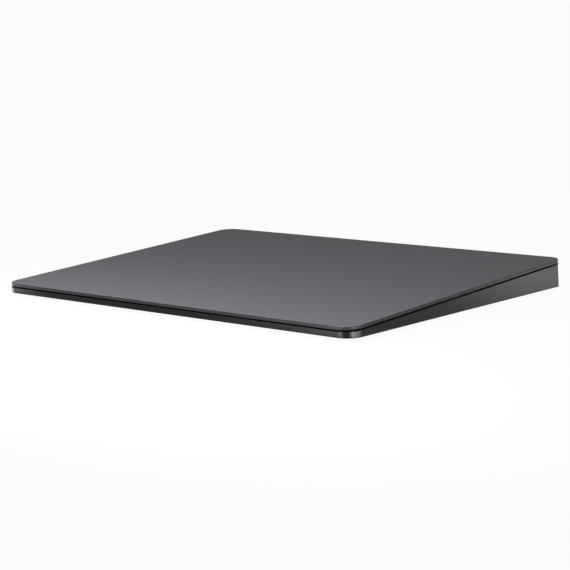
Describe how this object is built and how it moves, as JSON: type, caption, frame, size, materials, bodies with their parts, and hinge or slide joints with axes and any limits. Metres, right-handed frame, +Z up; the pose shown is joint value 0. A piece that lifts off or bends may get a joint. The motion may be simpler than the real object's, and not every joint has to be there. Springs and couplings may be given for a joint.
{
  "type": "trackpad",
  "caption": "Wireless desk trackpad: a sloping satin glass touch plate on springs over a thin wedge-shaped metal case with feet, charging port and power switch.",
  "frame": {"origin": "on the desk under the centre of the case", "axes": "+X to the user's right along the longest side, +Y away from the user, +Z up"},
  "size_m": [0.16, 0.1148, 0.0109],
  "materials": {
    "anodised_case": "fine bead-blasted, anodised dark grey",
    "dark_glass": "satin glass with a dark grey opaque backing",
    "foot_rubber": "matt",
    "black_film": "matt black",
    "glue": "matt",
    "spring_steel": "rolled",
    "screw_steel": "satin",
    "gel": "soft translucent gel",
    "ribbon": "amber polyimide film",
    "circuit_board": "dark green solder mask",
    "chip_plastic": "moulded black",
    "connector_plastic": "moulded cream",
    "shield_metal": "tinned",
    "port_metal": "drawn, satin",
    "contact_gold": "gold plated",
    "cell_wrap": "silver-grey laminate pouch",
    "switch_plastic": "fine matt",
    "indicator_green": "bright green film",
    "core_iron": "laminated iron",
    "coil_copper": "enamelled copper wire",
    "stiffener_metal": "rolled sheet"
  },
  "bodies": {
    "case": {"case_frame": "anodised_case", "base_plate": "anodised_case", "foot_front_left": "foot_rubber", "foot_front_right": "foot_rubber", "foot_rear_left": "foot_rubber", "foot_rear_right": "foot_rubber", "base_glue": "glue", "battery_glue": "glue", "flexure_front_left": "spring_steel", "flexure_front_right": "spring_steel", "flexure_rear_left": "spring_steel", "flexure_rear_right": "spring_steel", "haptic_tray": "spring_steel", "port_bracket": "spring_steel", "antenna_contact": "spring_steel", "flexure_screws": "screw_steel", "board_screws": "screw_steel", "bracket_screws": "screw_steel", "haptic_screws": "screw_steel", "gel_pad_front_left": "gel", "gel_pad_front_right": "gel", "gel_pad_rear_left": "gel", "gel_pad_rear_right": "gel", "strain_gauges": "ribbon", "gauge_cables": "ribbon", "switch_cable": "ribbon", "touch_cable": "ribbon", "battery_leads": "ribbon", "main_board": "circuit_board", "battery_boards": "circuit_board", "antenna_board": "circuit_board", "board_chips": "chip_plastic", "radio_chip": "chip_plastic", "switch_body": "chip_plastic", "port_core": "chip_plastic", "board_connectors": "connector_plastic", "radio_shield": "shield_metal", "port_shell": "port_metal", "port_contacts": "contact_gold", "battery_left": "cell_wrap", "battery_right": "cell_wrap", "switch_bezel": "switch_plastic", "switch_indicator": "indicator_green", "haptic_core": "core_iron", "haptic_coil": "coil_copper"},
    "isolators": {"isolator_cap_front_left": "spring_steel", "isolator_cap_front_right": "spring_steel", "isolator_cap_rear_left": "spring_steel", "isolator_cap_rear_right": "spring_steel"},
    "touch_plate": {"glass_top": "dark_glass", "bonding_film": "black_film", "sensor_board": "circuit_board", "stiffener_plate": "stiffener_metal", "touch_controller": "chip_plastic", "touch_chips": "chip_plastic", "touch_connector": "connector_plastic", "attraction_plate": "core_iron", "attraction_rivets": "screw_steel"},
    "power_slider": {"switch_slider": "switch_plastic"}
  },
  "joints": [
    {"name": "pad_press", "type": "slide", "parent": "case", "child": "isolators", "axis": [0, 0.0524, -0.9986], "range_m": [0, 0.0002], "stiffness_N_per_m": 15000, "springref_m": -0.0001, "deforming": ["gel_pad_front_left", "gel_pad_front_right", "gel_pad_rear_left", "gel_pad_rear_right", "touch_cable"]},
    {"name": "haptic_shift", "type": "slide", "parent": "isolators", "child": "touch_plate", "axis": [1, 0, 0], "range_m": [-0.0001, 0.0001], "stiffness_N_per_m": 20000},
    {"name": "power_switch", "type": "slide", "parent": "case", "child": "power_slider", "axis": [1, 0, 0], "range_m": [0, 0.003]}
  ]
}
